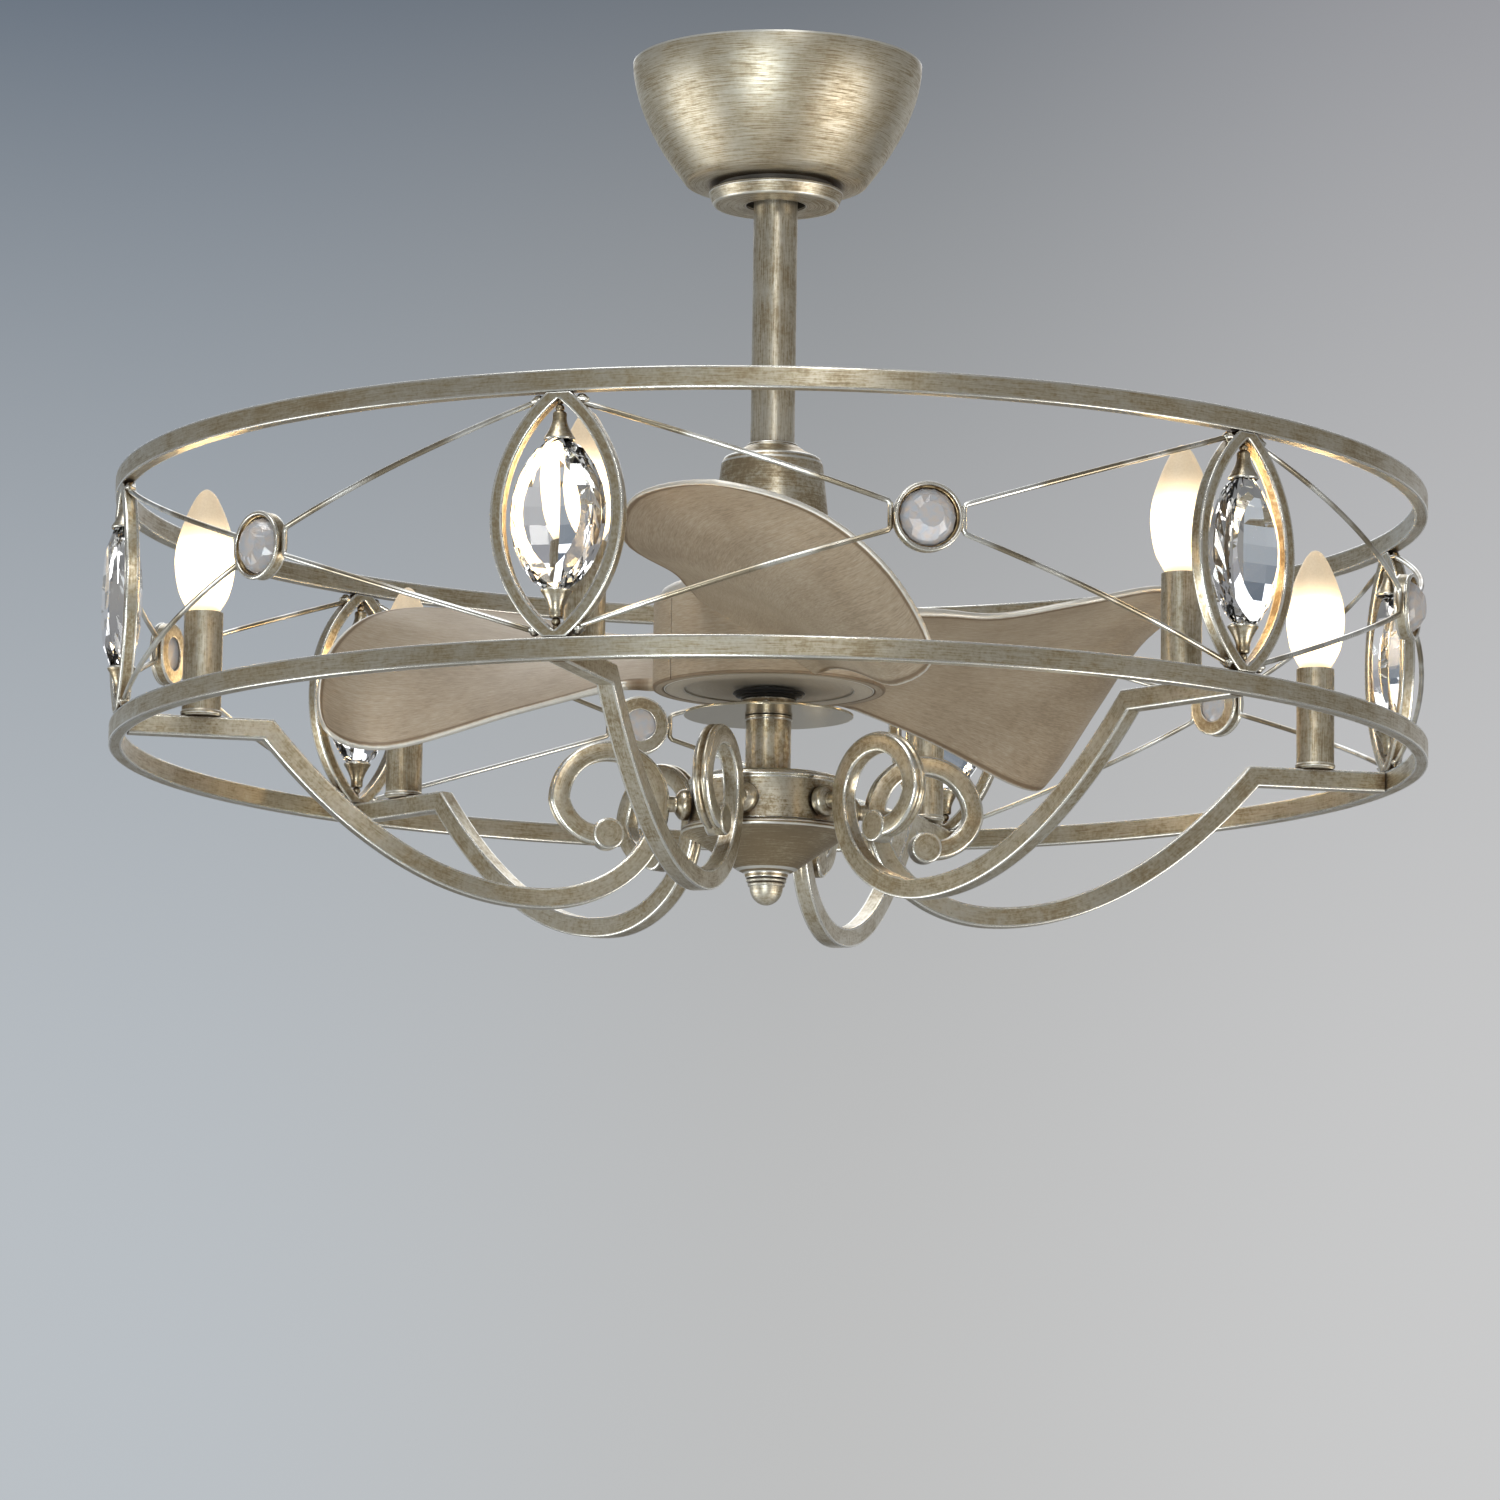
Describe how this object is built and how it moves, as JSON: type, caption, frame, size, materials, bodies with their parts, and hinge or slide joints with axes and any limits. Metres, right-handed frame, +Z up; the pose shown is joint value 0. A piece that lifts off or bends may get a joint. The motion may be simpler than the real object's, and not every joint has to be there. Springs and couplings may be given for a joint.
{
  "type": "chandelier ceiling fan",
  "caption": "Caged ceiling fan with swept blades inside a round two-ring chandelier frame, with candle lamps on scrolled arms and almond-shaped and round cut crystals.",
  "frame": {"origin": "on the ceiling, at the middle of the hanger bracket's flat top plate", "axes": "+Z up, along the downrod; -Y towards arm, light and almond frame 1; +X along the bracket's plate"},
  "size_m": [0.7614, 0.7634, 0.4983],
  "materials": {
    "silver_leaf": "aged silver leaf with brown rub-through and fine brushing",
    "blade_finish": "satin taupe with short fine grain and pale edges",
    "crystal": "clear cut crystal",
    "lamp_glass": "frosted warm white glass, lit",
    "black_rubber": "matt black",
    "zinc_steel": "plain zinc-plated steel",
    "motor_steel": "satin dark grey"
  },
  "bodies": {
    "ceiling_fixing": {"hanger_bracket": "zinc_steel", "canopy": "silver_leaf", "canopy_cover": "silver_leaf"},
    "hanging_frame": {"hanger_ball": "black_rubber", "downrod": "silver_leaf", "coupling_cover": "silver_leaf", "motor_yoke": "zinc_steel", "motor_stator": "motor_steel", "shaft_seal": "black_rubber", "light_stem": "silver_leaf", "light_disc": "blade_finish", "hub_drum": "silver_leaf", "hub_bowl": "silver_leaf", "finial": "silver_leaf", "upper_ring": "silver_leaf", "lower_ring": "silver_leaf", "cage_panel_1": "silver_leaf", "cage_panel_2": "silver_leaf", "cage_panel_3": "silver_leaf", "cage_panel_4": "silver_leaf", "cage_panel_5": "silver_leaf", "cage_panel_6": "silver_leaf", "almond_crystal_1": "crystal", "almond_crystal_2": "crystal", "almond_crystal_3": "crystal", "almond_crystal_4": "crystal", "almond_crystal_5": "crystal", "almond_crystal_6": "crystal", "round_stone_1": "crystal", "round_stone_2": "crystal", "round_stone_3": "crystal", "round_stone_4": "crystal", "round_stone_5": "crystal", "round_stone_6": "crystal", "arm_1": "silver_leaf", "arm_2": "silver_leaf", "arm_3": "silver_leaf", "arm_4": "silver_leaf", "arm_5": "silver_leaf", "arm_6": "silver_leaf", "candle_sleeve_1": "silver_leaf", "candle_sleeve_2": "silver_leaf", "candle_sleeve_3": "silver_leaf", "candle_sleeve_4": "silver_leaf", "candle_sleeve_5": "silver_leaf", "candle_sleeve_6": "silver_leaf", "bulb_1": "lamp_glass", "bulb_2": "lamp_glass", "bulb_3": "lamp_glass", "bulb_4": "lamp_glass", "bulb_5": "lamp_glass", "bulb_6": "lamp_glass"},
    "rotor": {"motor_housing": "motor_steel", "motor_bottom_cover": "blade_finish", "upper_bearing": "zinc_steel", "lower_bearing": "zinc_steel", "blade_1": "blade_finish", "blade_2": "blade_finish", "blade_3": "blade_finish"}
  },
  "joints": [
    {"name": "hanger_tilt", "type": "hinge", "parent": "ceiling_fixing", "child": "hanging_frame", "pos_m": [0, 0, -0.04316], "axis": [1, 0, 0], "range_deg": [-5, 5]},
    {"name": "rotor_spin", "type": "hinge", "parent": "hanging_frame", "child": "rotor", "pos_m": [0, 0, -0.36716], "axis": [0, 0, 1], "continuous": true}
  ]
}
